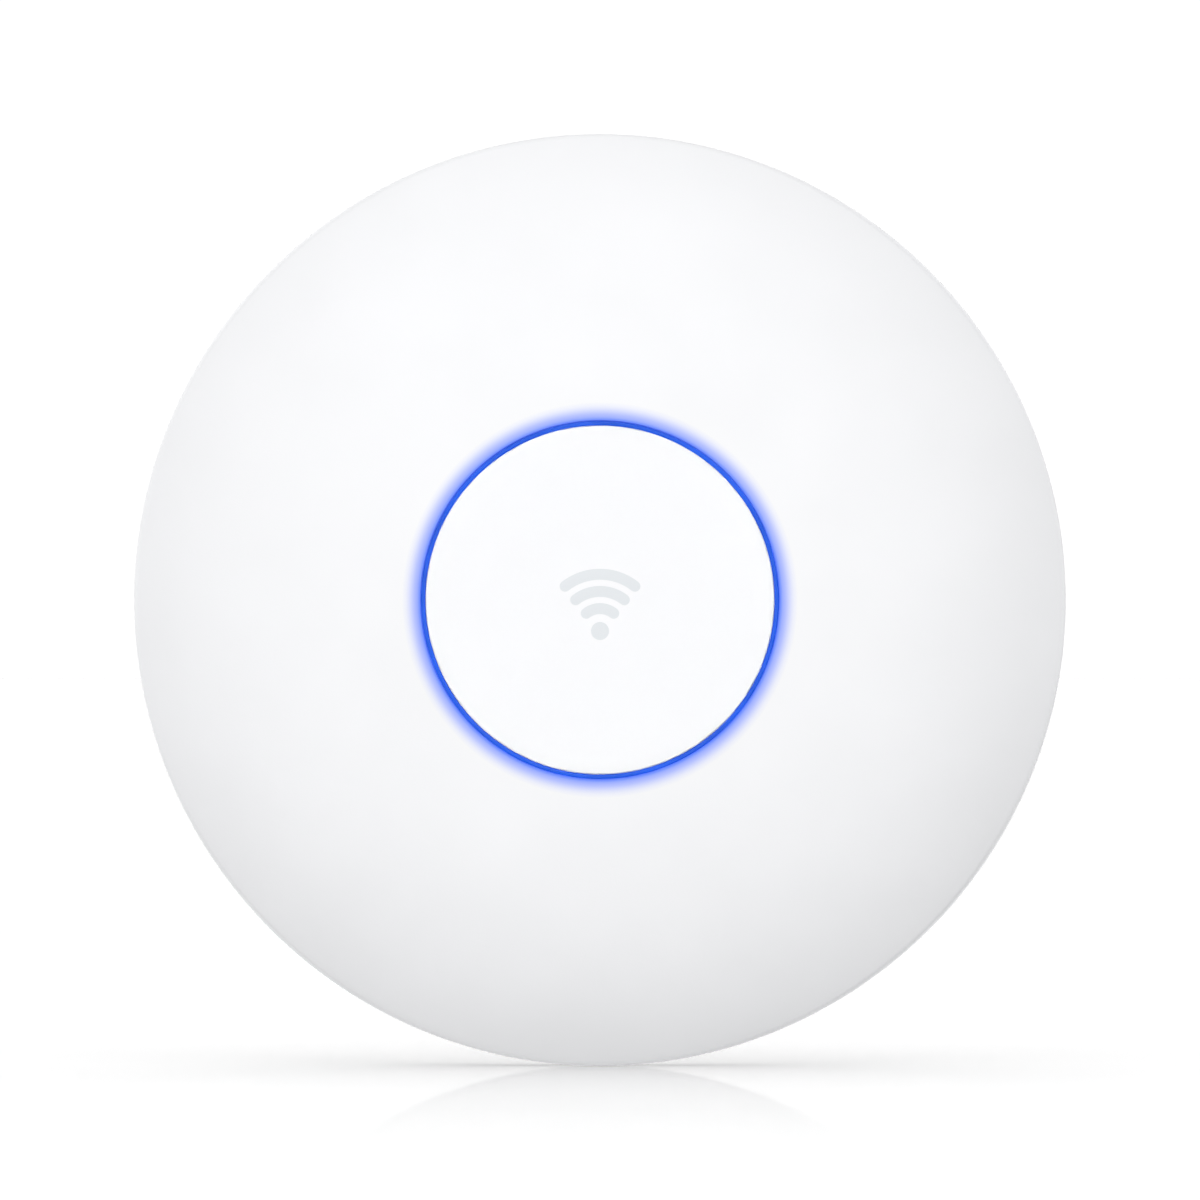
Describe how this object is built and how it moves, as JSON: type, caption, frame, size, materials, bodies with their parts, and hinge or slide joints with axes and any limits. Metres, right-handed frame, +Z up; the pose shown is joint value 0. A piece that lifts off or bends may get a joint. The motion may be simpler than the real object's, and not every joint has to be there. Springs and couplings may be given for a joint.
{
  "type": "ceiling access point",
  "caption": "Round white ceiling access point: shallow domed cover, flat centre cap with a lit blue ring, cast rear shell with jack pocket, and a twist-on steel bracket.",
  "frame": {"origin": "centre of the mounting bracket's back face, on the ceiling or wall plane", "axes": "+Y out of the back into the ceiling or wall, -Y out of the face, +Z up and +X to the right as the face is looked at"},
  "size_m": [0.197, 0.035, 0.197],
  "materials": {
    "dome": "satin white polycarbonate with a very fine moulded grain",
    "cap": "smooth satin white polycarbonate",
    "light_guide": "clear light guide, lit blue",
    "casting": "white powder coat on cast aluminium",
    "gasket": "soft black foam rubber",
    "bracket_steel": "zinc-plated stamped sheet",
    "spring_steel": "plain spring sheet",
    "screw_steel": "zinc-plated",
    "tinplate": "bright tin-plated sheet",
    "aluminium_sheet": "plain rolled sheet",
    "brass_sheet": "stamped sheet, lightly dulled",
    "circuit_board": "green solder mask",
    "polyimide": "amber flexible circuit",
    "black_plastic": "moulded",
    "button_plastic": "smooth moulded",
    "lead_jacket": "thin coaxial jacket",
    "lamp": "clear package",
    "capacitor_can": "rolled can",
    "thermal_pad": "soft gap filler",
    "label": "blank printed film"
  },
  "bodies": {
    "bracket": {"mounting_bracket": "bracket_steel"},
    "latch": {"latch_lever": "spring_steel"},
    "reset": {"reset_button": "button_plastic"},
    "access_point": {"antenna_1": "brass_sheet", "antenna_2": "brass_sheet", "antenna_3": "brass_sheet", "antenna_4": "brass_sheet", "antenna_plate": "aluminium_sheet", "back_housing": "casting", "board_screw_1": "screw_steel", "board_screw_2": "screw_steel", "board_screw_3": "screw_steel", "board_screw_4": "screw_steel", "capacitor_1": "capacitor_can", "capacitor_2": "capacitor_can", "centre_disc": "cap", "coax_lead_1": "lead_jacket", "coax_lead_2": "lead_jacket", "coax_lead_3": "lead_jacket", "coax_lead_4": "lead_jacket", "dome_cover": "dome", "housing_screw_1": "screw_steel", "housing_screw_2": "screw_steel", "housing_screw_3": "screw_steel", "housing_screw_4": "screw_steel", "jack_insert": "black_plastic", "jack_shell": "tinplate", "led_1": "lamp", "led_2": "lamp", "led_3": "lamp", "led_4": "lamp", "led_5": "lamp", "led_6": "lamp", "led_7": "lamp", "led_8": "lamp", "led_flex_cable": "polyimide", "led_ring_board": "circuit_board", "light_ring": "light_guide", "main_board": "circuit_board", "plate_post_1": "brass_sheet", "plate_post_2": "brass_sheet", "plate_post_3": "brass_sheet", "plate_screw_1": "screw_steel", "plate_screw_2": "screw_steel", "plate_screw_3": "screw_steel", "poe_transformer": "black_plastic", "power_inductor": "black_plastic", "rear_label": "label", "rim_gasket": "gasket", "shield_can_main": "tinplate", "shield_can_radio_a": "tinplate", "shield_can_radio_b": "tinplate", "tact_switch": "black_plastic", "thermal_pad_main": "thermal_pad", "thermal_pad_radio_a": "thermal_pad", "thermal_pad_radio_b": "thermal_pad"}
  },
  "joints": [
    {"name": "twist_lock", "type": "hinge", "parent": "bracket", "child": "access_point", "pos_m": [0, 0, 0], "axis": [0, -1, 0], "range_deg": [0, 18]},
    {"name": "latch_release", "type": "hinge", "parent": "bracket", "child": "latch", "pos_m": [-0.02351, -0.00075, 0.05357], "axis": [0, 1, 0], "range_deg": [0, 3], "stiffness_Nm_per_rad": 2.5},
    {"name": "reset_press", "type": "slide", "parent": "access_point", "child": "reset", "axis": [1, 0, 0], "range_m": [0, 0.0006], "stiffness_N_per_m": 2500}
  ]
}
